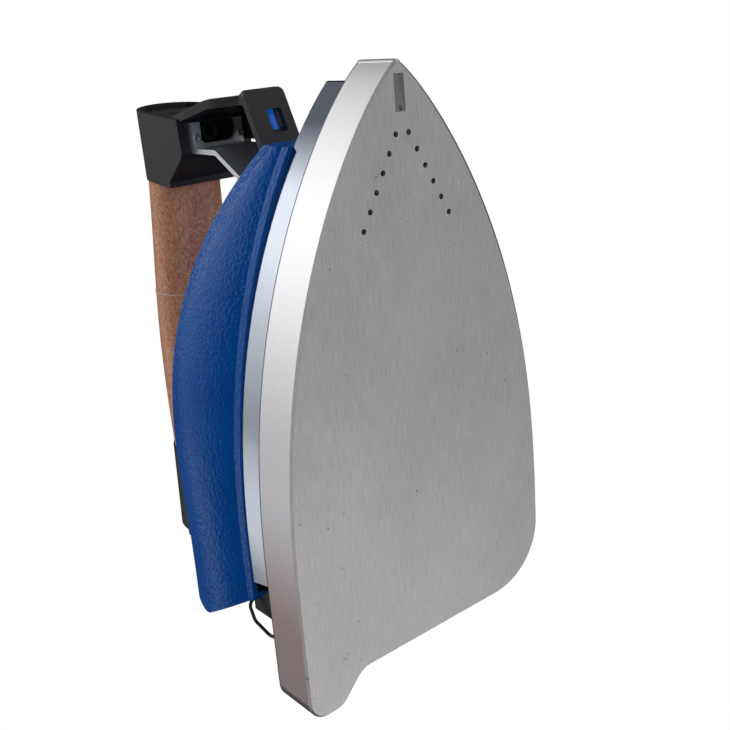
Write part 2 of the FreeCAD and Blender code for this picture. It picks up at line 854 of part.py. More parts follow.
def button_spring():
    """Return spring round the button's stem, with a six-sided wire of flat facets."""
    low = switch_top + 0.3 + spring_wire
    steps = 14
    sections = []
    for i in range(spring_turns * steps + 1):
        angle = 2 * math.pi * i / steps
        radial = FreeCAD.Vector(math.cos(angle), math.sin(angle), 0)
        centre = at(0, button_station, low + spring_pitch * i / steps) + radial * spring_coil
        section = []
        for side in range(6):
            turn = math.radians(60 * side)
            offset = radial * (spring_wire * math.cos(turn)) + Z * (spring_wire * math.sin(turn))
            section.append(centre + offset)
        sections.append(section)
    faces = []
    for first, second in zip(sections, sections[1:]):
        for side in range(6):
            after = (side + 1) % 6
            for corners in ((first[side], first[after], second[after]),
                            (first[side], second[after], second[side])):
                faces.append(Part.Face(Part.makePolygon(list(corners) + [corners[0]])))
    for section in (sections[0], sections[-1]):
        faces.append(Part.Face(Part.makePolygon(section + [section[0]])))
    shell = Part.Shell(faces)
    shell.sewShape()
    spring = Part.Solid(shell)
    if spring.Volume < 0:
        spring.reverse()
    return spring


def rear_cap():
    """Rear moulding that closes the grip and stands on the rear bracket."""
    cap = collar_bar(16.4, 16.0, 40, rear_collar_front, rear_cap_end)
    cap = cap.common(side_prism([
        (170, 142.6, 0), (181.0, 142.6, 6), (187.0, rear_cap_floor, 5),
        (214.0, rear_cap_floor, 8), (rear_cap_end + 1.5, 150.0, 4), (rear_cap_end + 0.4, 190, 0),
        (170, 190, 0),
    ], -30, 30))
    cap = cap.common(rounded_end(rear_cap_end, 16.5, 5.0).fuse(box(-30, 30, 170, 205, 100, 200)))
    socket = rod(on_handle(165), handle_direction(), grip_end_radius + 0.15,
                 handle_length(165, rear_web_start))
    cap = cap.cut(socket).cut(grip_solid(0.15))
    cap = cap.cut(rod(on_handle(170), handle_direction(), handle_rod_radius + 0.3, 26))
    cap = cap.cut(rod(on_handle(rear_web_end), handle_direction(), 8.5, 12))
    for x, station in rear_tab_screws:
        cap = cap.cut(rod(at(x, station, rear_cap_floor - 2), Z, 1.6, 12))
    return cap


def rounded_end(end_station, radius, bend):
    """Bar with a rounded end and flat sides, used to soften the rear cap."""
    start = on_handle(200)
    along = handle_direction()
    length = handle_length(200, end_station)
    bar = rod(start, along, radius + 0.01, length)
    last = [e for e in bar.Edges if e.BoundBox.YMin > start.y + length * 0.8]
    bar = bar.makeFillet(bend, last)
    lower = box(-radius, radius, 200, end_station + 0.6, 120, handle_height(200))
    return bar.fuse(lower)


# Brackets

def sheet_strip(corners, width):
    """Bent strip of sheet whose side view is a band of (station, height) corners."""
    band = [at(0, s, z) for s, z in corners]
    half = bracket_sheet / 2
    left = []
    right = []
    count = len(band)
    for i in range(count):
        before = band[max(i - 1, 0)]
        after = band[min(i + 1, count - 1)]
        first = (band[i] - before) if i > 0 else (after - band[i])
        second = (after - band[i]) if i < count - 1 else (band[i] - before)
        first_normal = first.cross(X).normalize()
        second_normal = second.cross(X).normalize()
        normal = (first_normal + second_normal).normalize()
        reach = half / max(0.2, normal.dot(first_normal))
        left.append(band[i] + normal * reach)
        right.append(band[i] - normal * reach)
    outline = Part.makePolygon(left + right[::-1] + [left[0]])
    outline.translate(X * (-width / 2))
    return Part.Face(outline).extrude(X * width)


def front_bracket():
    """Front strip: tab under the collar, upright, leaning leg and foot on the cover."""
    half = bracket_sheet / 2
    strip = sheet_strip([
        (21.3, collar_floor - half), (32.5, collar_floor - half), (32.5, 98.5),
        (66.0, cover_top + 3.5), (68.2, cover_top + half), (84.0, cover_top + half),
    ], bracket_width)
    strip = strip.cut(tab_opening(15.0, collar_floor - bracket_sheet - 1, collar_floor + 1))
    for x, station in tab_screw_places:
        strip = strip.cut(rod(at(x, station, 110), Z, 1.05, 10))
    for x, station in pillar_places[:2]:
        strip = strip.cut(rod(at(x, station, cover_top - 2), Z, 2.6, 6))
    return strip


def rear_bracket():
    """Rear strip: foot on the cover, upright and a tab under the rear cap."""
    half = bracket_sheet / 2
    strip = sheet_strip([
        (158.0, cover_top + half), (rear_leg_station - 10, cover_top + half),
        (rear_leg_station, 60.0), (rear_leg_station, 110.0),
        (rear_leg_station + 4, rear_cap_floor - half), (210.0, rear_cap_floor - half),
    ], bracket_width)
    for x, station in pillar_places[2:]:
        strip = strip.cut(rod(at(x, station, cover_top - 2), Z, 2.6, 6))
    for x, station in rear_tab_screws:
        strip = strip.cut(rod(at(x, station, 120), Z, 1.7, 20))
    return strip


# Dial

def thermostat_spindle():
    """Spindle from the thermostat up through the cover and the shield."""
    low = sole_height + 4.2
    top = dial_base() + 8.0
    spindle = rod(at(0, dial_station, low), Z, spindle_radius, top - low)
    flat = box(1.8, 4.0, dial_station - 5, dial_station + 5, dial_base(), top + 1)
    return spindle.cut(flat)


def dial_base():
    """Height of the dial's underside, just clear of the shield's crown."""
    return shield_top(dial_station) + shield_crown + 0.8


def thermostat_dial():
    """Fluted temperature dial with a pointer rib."""
    base = dial_base()
    dial = Part.makeCone(dial_radius, dial_radius - 1.5, 9.0, at(0, dial_station, base), Z)
    for i in range(16):
        angle = math.radians(22.5 * i + 11.25)
        flute = rod(at(math.cos(angle) * (dial_radius + 1.0),
                       dial_station + math.sin(angle) * (dial_radius + 1.0), base - 1), Z, 2.0, 12)
        dial = dial.cut(flute)
    pointer = box(-1.0, 1.0, dial_station - dial_radius + 3, dial_station - 4, base + 8, base + 10)
    dial = dial.fuse(pointer).removeSplitter()
    bore = rod(at(0, dial_station, base - 1), Z, spindle_radius, 9.0)
    key = box(1.8, 4.0, dial_station - 5, dial_station + 5, base - 2, base + 9)
    return dial.cut(bore.cut(key))


# Lamp, leads and connections


def lamp_height(station):
    """Height of the lamp's axis, parallel to the apron."""
    return apron_height(station) + 3.0 + lamp_radius + 0.6


def pilot_lamp():
    """Blue lamp that lies along the apron, over its window."""
    start = at(lamp_offset, 15.4, lamp_height(15.4))
    end = at(lamp_offset, 27.0, lamp_height(27.0))
    along = (end - start).normalize()
    return rod(start, along, lamp_radius, (end - start).Length)


def lamp_holder():
    """Clip on the apron that holds the lamp by its rear end."""
    low = apron_height(26.0)
    clip = side_prism([
        (24.4, apron_height(24.4) + 3.0, 0), (30.5, apron_height(30.5) + 3.0, 0),
        (30.5, low + 10.0, 1), (24.4, low + 10.0, 1),
    ], lamp_offset - 3.2, lamp_offset + 3.2)
    start = at(lamp_offset, 15.4, lamp_height(15.4))
    end = at(lamp_offset, 27.0, lamp_height(27.0))
    along = (end - start).normalize()
    return clip.cut(rod(start, along, lamp_radius, (end - start).Length))


def terminal_box():
    """Black connection box on the heel of the casting."""
    body = box(-48.5, -16, 181.5, 200.5, sole_height + 6.0, 49.0)
    feet = box(-38, -28, 183, 199, sole_height, sole_height + 6.0)
    block = body.fuse(feet).removeSplitter()
    for x, station in box_screw_places:
        block = block.cut(rod(at(x, station, sole_height - 1), Z, 1.6, 32))
    gland_bore = rod(at(gland_offset, 190, gland_height), Y, 4.25, 30)
    return block.cut(gland_bore)


def cable_gland():
    """Gland in the connection box for the mains cable."""
    flange = hexagon(at(gland_offset, 200.5, gland_height), Y, 16.0, 5.0)
    neck = rod(at(gland_offset, 205.5, gland_height), Y, 6.5, 9.0)
    sleeve = rod(at(gland_offset, 190.5, gland_height), Y, 4.25, 10.0)
    bore = rod(at(gland_offset, 190, gland_height), Y, 3.5, 40)
    return flange.fuse(neck).fuse(sleeve).removeSplitter().cut(bore)


def heater_lead():
    """Black sleeved lead that loops from the connection box down to the heater."""
    points = [
        at(-48.5, 195.0, 47.4), at(-52.2, 195.0, 47.4), at(-52.2, 202.0, 44.0),
        at(-51.2, 205.5, 36.0), at(-50, 203.8, 25.0), at(-50, 202.5, 20.0),
        at(-50, 202.5, heater_height + 1.6),
    ]
    return bent_rod(points, lead_radius, 3.0)


def main():
    """Build and write every sub-part."""
    os.makedirs("parts", exist_ok=True)
    screws = button_head_screws
    save("soleplate", soleplate())
    save("heating_element", heating_element())
    save("heater_terminals", heater_terminals())
    save("chamber_gasket", chamber_gasket())
    save("chamber_lid", chamber_lid())
    save("lid_screws", screws(lid_screw_places, sole_height, 2.8, 1.6, 1.5, 8.5))
    save("steam_pipe", steam_pipe())
    save("hose_nipple", hose_nipple())
    save("thermostat_body", thermostat_body())
    save("thermostat_screws", screws(thermostat_screw_places, sole_height + 2, 2.8, 1.8, 1.5, 8.0))
    save("thermal_fuse", thermal_fuse())
    save("fuse_screw", screws(fuse_screw_places, sole_height + 1.2, 2.8, 1.8, 1.5, 6.0))
    save("body_cover", body_cover())
    save("cover_pillars", cover_pillars())
    save("bracket_screws", screws(pillar_places, cover_top + bracket_sheet, 4.6, 2.6, 2.0, 28.0))
    save("shield_posts", shield_posts())
    save("heat_shield", heat_shield())
    save("front_bracket", front_bracket())
    save("rear_bracket", rear_bracket())
    save("front_cap", front_cap())
    save("switch_cover", switch_cover())
    save("lead_nut", lead_nut())
    save("tab_screws", tab_screws())
    save("steam_button", steam_button())
    save("steam_switch", steam_switch())
    save("switch_plunger", switch_plunger())
    save("button_spring", button_spring())
    save("handle_tube", handle_tube())
    save("handle_rod", handle_rod())
    save("handle_nuts", handle_nuts())
    save("cork_grip", cork_grip())
    save("grip_film", grip_film())
    save("rear_cap", rear_cap())
    save("thermostat_spindle", thermostat_spindle())
    save("thermostat_dial", thermostat_dial())
    save("pilot_lamp", pilot_lamp())
    save("lamp_holder", lamp_holder())
    save("terminal_box", terminal_box())
    save("box_screws", screws(box_screw_places, 49.0, 2.8, 1.8, 1.5, 37.0))
    save("cable_gland", cable_gland())
    save("heater_lead", heater_lead())


main()
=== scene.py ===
"""Looks of the steam generator iron: materials, small trim, lights, floor and camera.

Everything is in metres in the model's own frame: the sole face is z = 0, +Z is up and the tip
points towards -Y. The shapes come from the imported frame; this script gives them their finishes.
"""

import bpy
import json
import math
from mathutils import Matrix, Vector


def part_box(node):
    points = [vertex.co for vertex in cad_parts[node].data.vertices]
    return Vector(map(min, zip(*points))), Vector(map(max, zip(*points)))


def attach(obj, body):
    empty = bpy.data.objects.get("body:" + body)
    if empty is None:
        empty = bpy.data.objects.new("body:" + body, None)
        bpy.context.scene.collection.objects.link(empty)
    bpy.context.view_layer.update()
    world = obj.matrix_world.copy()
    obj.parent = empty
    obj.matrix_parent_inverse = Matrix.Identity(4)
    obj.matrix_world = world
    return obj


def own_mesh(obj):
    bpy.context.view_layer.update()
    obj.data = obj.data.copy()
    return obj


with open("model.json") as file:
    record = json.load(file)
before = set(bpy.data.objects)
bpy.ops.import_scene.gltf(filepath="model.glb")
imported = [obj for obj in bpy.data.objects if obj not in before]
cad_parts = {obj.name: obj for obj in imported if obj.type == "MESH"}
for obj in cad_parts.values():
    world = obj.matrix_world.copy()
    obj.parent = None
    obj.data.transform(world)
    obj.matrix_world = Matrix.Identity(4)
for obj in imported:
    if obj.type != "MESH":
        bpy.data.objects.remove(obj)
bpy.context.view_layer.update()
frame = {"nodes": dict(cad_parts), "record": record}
nodes = frame["nodes"]

MM = 0.001
handle_tilt = math.radians(5.3)

# Light levels at places along Y, from -1 in front of the tip to 1 behind the heel
sky_above = (
    (-0.78, 0.28), (-0.60, 0.85), (-0.50, 1.12), (-0.38, 1.50), (-0.20, 1.25), (0.0, 0.72),
    (0.2, 0.42), (0.36, 0.95))
sky_below = ((-0.1, 0.54), (0.10, 0.54), (0.32, 0.42), (0.47, 0.78), (0.62, 1.05))
sky_all_round = 0.05


# Helpers for materials

class Finish:
    """A new material with its shader, and short ways to add nodes to it."""

    def __init__(self, name):
        self.material = bpy.data.materials.new(name)
        self.material.use_nodes = True
        self.tree = self.material.node_tree
        self.shader = self.tree.nodes["Principled BSDF"]
        self.place = self.tree.nodes.new("ShaderNodeTexCoord").outputs["Object"]
        self.last_bump = None

    def set(self, **values):
        """Set plain values on the shader's own sockets."""
        for name, value in values.items():
            self.shader.inputs[name.replace("_", " ")].default_value = value
        return self

    def node(self, kind, settings=(), **inputs):
        """Add a node; inputs are sockets by name, or n0, n1 by number, and values or links."""
        made = self.tree.nodes.new("ShaderNode" + kind)
        for name, value in dict(settings).items():
            setattr(made, name, value)
        for name, value in inputs.items():
            numbered = name[0] == "n" and name[1:].isdigit()
            socket = made.inputs[int(name[1:]) if numbered else name]
            if isinstance(value, bpy.types.NodeSocket):
                self.tree.links.new(value, socket)
            else:
                socket.default_value = value
        return made

    def stretched(self, scale, turn=0.0):
        """The object's coordinates, scaled along each axis and turned about Z."""
        mapping = self.node("Mapping", Vector=self.place, Scale=scale, Rotation=(0, 0, turn))
        return mapping.outputs["Vector"]

    def noise(self, scale, detail=3.0, roughness=0.5, vector=None):
        """Noise from 0 to 1; the scale is about the number of features in a metre."""
        made = self.node("TexNoise", Vector=vector or self.place, Scale=scale, Detail=detail,
                         Roughness=roughness)
        return made.outputs["Fac"]

    def cells(self, scale, output="Distance", vector=None, feature="F1"):
        """Cells of one size, as a distance or a random colour."""
        made = self.node("TexVoronoi", {"feature": feature}, Vector=vector or self.place, Scale=scale)
        return made.outputs[output]

    def ramp(self, factor, *stops):
        """Colours or greys at places from 0 to 1."""
        made = self.node("ValToRGB", Fac=factor)
        elements = made.color_ramp.elements
        while len(elements) < len(stops):
            elements.new(0.5)
        for element, (position, colour) in zip(elements, stops):
            element.position = position
            element.color = grey(colour) if isinstance(colour, (int, float)) else (*colour, 1)
        return made.outputs["Color"]

    def mix(self, factor, first, second, blend="MIX"):
        """Mix two colours."""
        made = self.node("Mix", {"data_type": "RGBA", "blend_type": blend}, n0=factor)
        for socket, value in ((made.inputs[6], first), (made.inputs[7], second)):
            if isinstance(value, bpy.types.NodeSocket):
                self.tree.links.new(value, socket)
            else:
                socket.default_value = (*value, 1)
        return made.outputs[2]

    def math(self, operation, first, second=0.0):
        """One sum."""
        made = self.node("Math", {"operation": operation}, n0=first, n1=second)
        return made.outputs[0]

    def axis(self, vector, name):
        """One axis of a vector."""
        return self.node("SeparateXYZ", Vector=vector).outputs[name]

    def normal(self):
        """The surface's own direction, in the model's frame."""
        return self.node("NewGeometry").outputs["Normal"]

    def bump(self, height, strength, depth):
        """Add relief; depth is in metres."""
        made = self.node("Bump", Height=height, Strength=strength, Distance=depth)
        if self.last_bump is not None:
            self.tree.links.new(self.last_bump, made.inputs["Normal"])
        self.last_bump = made.outputs["Normal"]
        self.tree.links.new(self.last_bump, self.shader.inputs["Normal"])
        return self

    def colour(self, socket):
        """Link the shader's colour."""
        self.tree.links.new(socket, self.shader.inputs["Base Color"])
        return self

    def rough(self, factor, low, high):
        """Roughness that runs from low to high with a factor."""
        made = self.node("MapRange", Value=factor)
        made.inputs["To Min"].default_value = low
        made.inputs["To Max"].default_value = high
        self.tree.links.new(made.outputs["Result"], self.shader.inputs["Roughness"])
        return self


def grey(value):
    """A grey colour."""
    return (value, value, value, 1)


def painted_pocket_shade(finish):
    """Share of 1 on the walls and floor of the small pocket behind the sole's tip, where the casting gets
    painted shade.
    """
    limits = (("X", -2.3, 2.3), ("Y", -101.3, -88.4), ("Z", 0.12, 1.7))
    inside = None
    for name, low, high in limits:
        place = finish.axis(finish.place, name)
        above = finish.math("GREATER_THAN", place, low * MM)
        below = finish.math("LESS_THAN", place, high * MM)
        both = finish.math("MULTIPLY", above, below)
        inside = both if inside is None else finish.math("MULTIPLY", inside, both)
    return inside


def brushed_casting():
    """Ground aluminium: lines along the iron, specks, scratches, sides with a painted reflection that is
    bright towards the tip and darker and brownish towards the heel, and painted shade in the pocket behind
    the tip.
    """
    finish = Finish("brushed_casting").set(Metallic=1.0)
    lines = finish.noise(1700, 4, 0.7, finish.stretched((1, 0.07, 1)))
    patches = finish.noise(26, 4, 0.6, finish.stretched((1, 0.6, 1)))
    ground = finish.ramp(lines, (0.25, (0.36, 0.35, 0.36)), (0.75, (0.64, 0.63, 0.64)))
    cloud = finish.ramp(patches, (0.3, (0.43, 0.42, 0.44)), (0.7, (0.60, 0.58, 0.58)))
    clouded = finish.mix(0.4, ground, cloud)
    scratches = finish.noise(700, 2, 0.5, finish.stretched((1, 0.10, 1), math.radians(35)))
    scratched = finish.mix(finish.ramp(scratches, (0.745, 0.0), (0.76, 0.6)), clouded, (0.72, 0.72, 0.72))
    specks = finish.ramp(finish.cells(330), (0.10, 1.0), (0.14, 0.0))
    chosen = finish.ramp(finish.noise(150, 1), (0.63, 0.0), (0.66, 0.8))
    dirt_and_pocket_shade = finish.mix(finish.math("MULTIPLY", specks, chosen), scratched, (0.12, 0.11, 0.11))
    upright = finish.math("ABSOLUTE", finish.axis(finish.normal(), "Z"))
    side = finish.ramp(upright, (0.35, 1.0), (0.6, 0.0))
    # Painted reflection: the sides' colour runs from bright at the tip to darker and brownish at the heel,
    # standing in for reflected light.
    along = finish.node("MapRange", Value=finish.axis(finish.place, "Y"))
    along.inputs["From Min"].default_value = -105 * MM
    along.inputs["From Max"].default_value = 116 * MM
    painted_side_sheen_and_tone = finish.ramp(
        along.outputs["Result"],
        (0.0, (0.96, 0.96, 0.97)), (0.45, (0.95, 0.95, 0.98)), (0.66, (0.70, 0.69, 0.72)),
        (0.84, (0.53, 0.39, 0.39)), (1.0, (0.52, 0.45, 0.46)))
    wall = finish.mix(0.5, painted_side_sheen_and_tone, finish.ramp(lines, (0.25, 0.75), (0.75, 1.0)), "MULTIPLY")
    height = finish.node("MapRange", Value=finish.axis(finish.place, "Z"))
    height.inputs["From Min"].default_value = 17.6 * MM
    height.inputs["From Max"].default_value = 18.7 * MM
    joint = finish.ramp(height.outputs["Result"], (0.3, (1.0, 1.0, 1.0)), (0.75, (0.10, 0.10, 0.11)))
    wall = finish.mix(1.0, wall, joint, "MULTIPLY")
    # Painted shade: the pocket behind the tip is coloured darker grey, standing in for the shade inside the
    # recess.
    dirt_and_pocket_shade = finish.mix(painted_pocket_shade(finish), dirt_and_pocket_shade, (0.23, 0.225, 0.23))
    finish.colour(finish.mix(side, dirt_and_pocket_shade, wall))
    finish.rough(lines, 0.30, 0.46)
    finish.bump(lines, 0.25, 0.02 * MM)
    finish.bump(finish.noise(60, 2), 0.12, 0.2 * MM)
    return finish.material


def bright_plating():
    """Polished plating with a faint waviness, hazy stains and a painted dark reflection on the nose."""
    finish = Finish("bright_plating").set(Metallic=1.0)
    stains = finish.noise(35, 3, 0.6)
    plate = finish.ramp(stains, (0.3, (0.48, 0.53, 0.61)), (0.7, (0.56, 0.60, 0.67)))
    # Painted reflection: the plating darkens towards the nose, standing in for something dark that it mirrors
    # beside the tip.
    along = finish.node("MapRange", Value=finish.axis(finish.place, "Y"))
    along.inputs["From Min"].default_value = -98 * MM
    along.inputs["From Max"].default_value = -45 * MM
    painted_nose_reflection = finish.ramp(along.outputs["Result"], (0.22, (0.14, 0.15, 0.17)), (0.60, (1.0, 1.0, 1.0)))
    finish.colour(finish.mix(1.0, plate, painted_nose_reflection, "MULTIPLY"))
    finish.rough(finish.noise(90, 2), 0.07, 0.16)
    finish.bump(finish.noise(28, 1), 0.25, 0.5 * MM)
    return finish.material


def grained_plastic(name, dark, light, grain, size):
    """Moulded plastic with a leather-like grain of one size."""
    finish = Finish(name)
    finish.set(IOR=1.5, Specular_IOR_Level=0.13)
    tone = finish.noise(40, 2, 0.5)
    finish.colour(finish.ramp(tone, (0.3, dark), (0.7, light)))
    warp = finish.noise(size * 0.8, 2, 0.5)
    shifted = finish.node("VectorMath", {"operation": "ADD"}, n0=finish.place)
    push = finish.node("VectorMath", {"operation": "SCALE"}, n0=finish.node(
        "CombineXYZ", X=warp, Y=warp, Z=warp).outputs[0], Scale=0.9 * MM)
    finish.tree.links.new(push.outputs[0], shifted.inputs[1])
    cells = finish.cells(size, vector=shifted.outputs[0], feature="SMOOTH_F1")
    finish.rough(cells, 0.10, 0.20)
    finish.bump(cells, grain, 0.40 * MM)
    finish.bump(finish.noise(size * 3, 2), grain * 0.3, 0.06 * MM)
    return finish.material


def moulded_plastic(name, dark, light, low_rough, high_rough, relief=0.3):
    """Plain moulded plastic with a fine spark-eroded surface and slight wear."""
    finish = Finish(name)
    wear = finish.noise(55, 4, 0.65)
    finish.colour(finish.ramp(wear, (0.35, dark), (0.75, light)))
    finish.rough(wear, low_rough, high_rough)
    finish.bump(finish.noise(2300, 3, 0.6), relief, 0.05 * MM)
    return finish.material


def sheet_metal():
    """Grey plated strip with bright sheared edges."""
    finish = Finish("sheet_metal").set(Metallic=1.0)
    lines = finish.noise(900, 3, 0.5, finish.stretched((1, 0.05, 0.05)))
    face = finish.ramp(lines, (0.3, (0.66, 0.69, 0.71)), (0.7, (0.80, 0.83, 0.85)))
    across = finish.math("ABSOLUTE", finish.axis(finish.normal(), "X"))
    edge = finish.ramp(across, (0.6, 0.0), (0.8, 1.0))
    finish.colour(finish.mix(edge, face, (0.86, 0.87, 0.88)))
    finish.rough(lines, 0.48, 0.64)
    finish.bump(finish.noise(160, 3), 0.15, 0.15 * MM)
    return finish.material


def pressed_cork():
    """Cork granules of many browns under a clear glossy film."""
    finish = Finish("pressed_cork").set(Coat_Weight=0.7, Coat_Roughness=0.2)
    bent = finish.node("Mapping", Vector=finish.place, Scale=(1, 0.72, 1)).outputs["Vector"]
    grains = finish.cells(1150, "Color", bent)
    fine = finish.cells(2400, "Color")
    coarse = finish.axis(grains, "X")
    small = finish.axis(fine, "Y")
    blend = finish.math("ADD", finish.math("MULTIPLY", coarse, 0.55), finish.math("MULTIPLY", small, 0.45))
    brown = finish.ramp(
        blend, (0.08, (0.46, 0.13, 0.05)), (0.30, (0.76, 0.26, 0.11)),
        (0.60, (0.90, 0.37, 0.18)), (0.95, (0.98, 0.55, 0.33)))
    clouds = finish.ramp(finish.noise(45, 3, 0.6), (0.3, 0.80), (0.7, 1.0))
    shaded = finish.mix(0.8, brown, clouds, "MULTIPLY")
    pits = finish.ramp(finish.noise(1500, 3, 0.6), (0.28, 0.8), (0.35, 0.0))
    finish.colour(finish.mix(pits, shaded, (0.05, 0.022, 0.015)))
    finish.rough(finish.noise(300, 2), 0.5, 0.75)
    finish.bump(finish.noise(500, 3), 0.35, 0.12 * MM)
    return finish.material


def clear_film():
    """Clear film: hardly there, with gloss that clouds slightly."""
    finish = Finish("clear_film").set(Alpha=0.03, IOR=1.3)
    haze = finish.noise(160, 3, 0.6)
    finish.colour(finish.ramp(haze, (0.3, (0.80, 0.74, 0.68)), (0.7, (0.95, 0.92, 0.88))))
    finish.rough(haze, 0.05, 0.16)
    finish.bump(finish.noise(120, 2), 0.2, 0.15 * MM)
    return finish.material


def plain_metal(name, dark, light, low_rough, high_rough):
    """Turned or drawn metal with fine marks and slight dulling."""
    finish = Finish(name).set(Metallic=1.0)
    dull = finish.noise(140, 4, 0.6)
    finish.colour(finish.ramp(dull, (0.3, dark), (0.7, light)))
    finish.rough(dull, low_rough, high_rough)
    finish.bump(finish.noise(1500, 2), 0.2, 0.03 * MM)
    return finish.material


def clear_blue():
    """Blue lamp cap that glows faintly."""
    finish = moulded_plastic("clear_blue", (0.01, 0.10, 0.48), (0.02, 0.20, 0.72), 0.12, 0.2, 0.1)
    shader = finish.node_tree.nodes["Principled BSDF"]
    shader.inputs["Emission Color"].default_value = (0.01, 0.12, 0.6, 1)
    shader.inputs["Emission Strength"].default_value = 0.35
    return finish


black = moulded_plastic("black_moulding", (0.011, 0.011, 0.014), (0.018, 0.018, 0.022), 0.40, 0.55)
finishes = {
    "cast_aluminium": brushed_casting(),
    "heater_steel": plain_metal("heater_steel", (0.20, 0.18, 0.17), (0.34, 0.31, 0.29), 0.4, 0.6),
    "silicone_seal": moulded_plastic("silicone_seal", (0.30, 0.05, 0.03), (0.42, 0.09, 0.05), 0.5, 0.7),
    "plain_steel": plain_metal("plain_steel", (0.50, 0.50, 0.52), (0.68, 0.68, 0.69), 0.22, 0.38),
    "pipe_copper": plain_metal("pipe_copper", (0.50, 0.22, 0.13), (0.78, 0.42, 0.28), 0.25, 0.45),
    "nozzle_brass": plain_metal("nozzle_brass", (0.58, 0.42, 0.17), (0.76, 0.60, 0.30), 0.22, 0.4),
    "white_ceramic": moulded_plastic("white_ceramic", (0.60, 0.57, 0.50), (0.76, 0.74, 0.68), 0.25, 0.4),
    "bright_chrome": bright_plating(),
    "blue_plastic": grained_plastic("blue_shield", (0.001, 0.088, 0.41), (0.0015, 0.108, 0.48), 0.65, 760),
    "black_plastic": black,
    "dial_plastic": moulded_plastic("dial_plastic", (0.012, 0.012, 0.013), (0.022, 0.022, 0.024), 0.22, 0.35),
    "grey_sheet": sheet_metal(),
    "grip_cork": pressed_cork(),
    "clear_film": clear_film(),
    "lamp_blue": clear_blue(),
    "button_red": moulded_plastic("button_red", (0.38, 0.02, 0.012), (0.48, 0.035, 0.02), 0.2, 0.32),
    "lead_sleeve": moulded_plastic("lead_sleeve", (0.010, 0.010, 0.010), (0.02, 0.02, 0.02), 0.35, 0.5),
}

for part in frame["record"]["subparts"]:
    mesh = nodes[part["node"]].data
    mesh.materials.clear()
    mesh.materials.append(finishes[part["material_slot"]])


# Small trim

def film_seam():
    """Raised edge of the clear film where its two ends overlap, round the grip."""
    low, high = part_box("grip_film")
    share = 0.39
    station = low.y + (high.y - low.y) * share
    rise = math.tan(handle_tilt)
    grip_low, grip_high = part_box("cork_grip")
    axis_height = (grip_low.z + grip_high.z) / 2
    middle = (grip_low.y + grip_high.y) / 2
    centre = Vector((0, station, axis_height + (station - middle) * rise))
    radius = high.x - 0.12 * MM
    mesh = bpy.data.meshes.new("film_seam")
    steps = 96
    profile = ((-0.22, 0.0), (-0.12, 0.10), (0.12, 0.10), (0.22, 0.0))
    points = []
    faces = []
    for i in range(steps):
        angle = 2 * math.pi * i / steps
        wander = 0.35 * MM * math.sin(3 * angle) + 0.2 * MM * math.sin(7 * angle + 1)
        for along, lift in profile:
            reach = radius + lift * MM
            points.append(centre + Vector((
                reach * math.cos(angle), along * MM + wander, reach * math.sin(angle))))
    count = len(profile)
    for i in range(steps):
        for k in range(count - 1):
            a = i * count + k
            b = (i + 1) % steps * count + k
            faces.append((a, a + 1, b + 1, b))
    mesh.from_pydata(points, [], faces)
    mesh.shade_smooth()
    seam = bpy.data.objects.new("film_seam", mesh)
    bpy.context.collection.objects.link(seam)
    seam.data.materials.append(moulded_plastic(
        "film_edge", (0.70, 0.60, 0.52), (0.90, 0.82, 0.76), 0.15, 0.3, 0.1))
    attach(seam, "iron_body")


def short_spring():
    """Gives the return spring its own copy of its mesh; its shape is not changed here."""
    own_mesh(nodes["button_spring"])


film_seam()
short_spring()


# Floor, lights and camera

def one_sided_floor():
    """Pale floor under the sole, seen only from above."""
    size = 4.0
    mesh = bpy.data.meshes.new("floor")
    mesh.from_pydata([(-size, -size, 0), (size, -size, 0), (size, size, 0), (-size, size, 0)], [],
                     [(0, 1, 2, 3)])
    floor = bpy.data.objects.new("floor", mesh)
    floor.location.z = -0.1 * MM
    bpy.context.collection.objects.link(floor)
    material = bpy.data.materials.new("pale_floor")
    material.use_nodes = True
    tree = material.node_tree
    shader = tree.nodes["Principled BSDF"]
    shader.inputs["Base Color"].default_value = (0.80, 0.80, 0.80, 1)
    shader.inputs["Roughness"].default_value = 0.8
    clear = tree.nodes.new("ShaderNodeBsdfTransparent")
    side = tree.nodes.new("ShaderNodeNewGeometry")
    choose = tree.nodes.new("ShaderNodeMixShader")
    tree.links.new(side.outputs["Backfacing"], choose.inputs[0])
    tree.links.new(shader.outputs[0], choose.inputs[1])
    tree.links.new(clear.outputs[0], choose.inputs[2])
    tree.links.new(choose.outputs[0], tree.nodes["Material Output"].inputs["Surface"])
    mesh.materials.append(material)
    floor.visible_diffuse = False
    floor.visible_glossy = False
    floor.visible_transmission = False
    floor.visible_shadow = False


def panel(name, place, size, radiance):
    """Square soft light that faces the iron, with an even brightness."""
    light = bpy.data.lights.new(name, "AREA")
    light.shape = "SQUARE"
    light.size = size
    light.energy = radiance * math.pi * size * size
    lamp = bpy.data.objects.new(name, light)
    lamp.location = place
    aim = Vector((0, 0, 70 * MM)) - Vector(place)
    lamp.rotation_euler = aim.to_track_quat("-Z", "Y").to_euler()
    bpy.context.collection.objects.link(lamp)
    return lamp


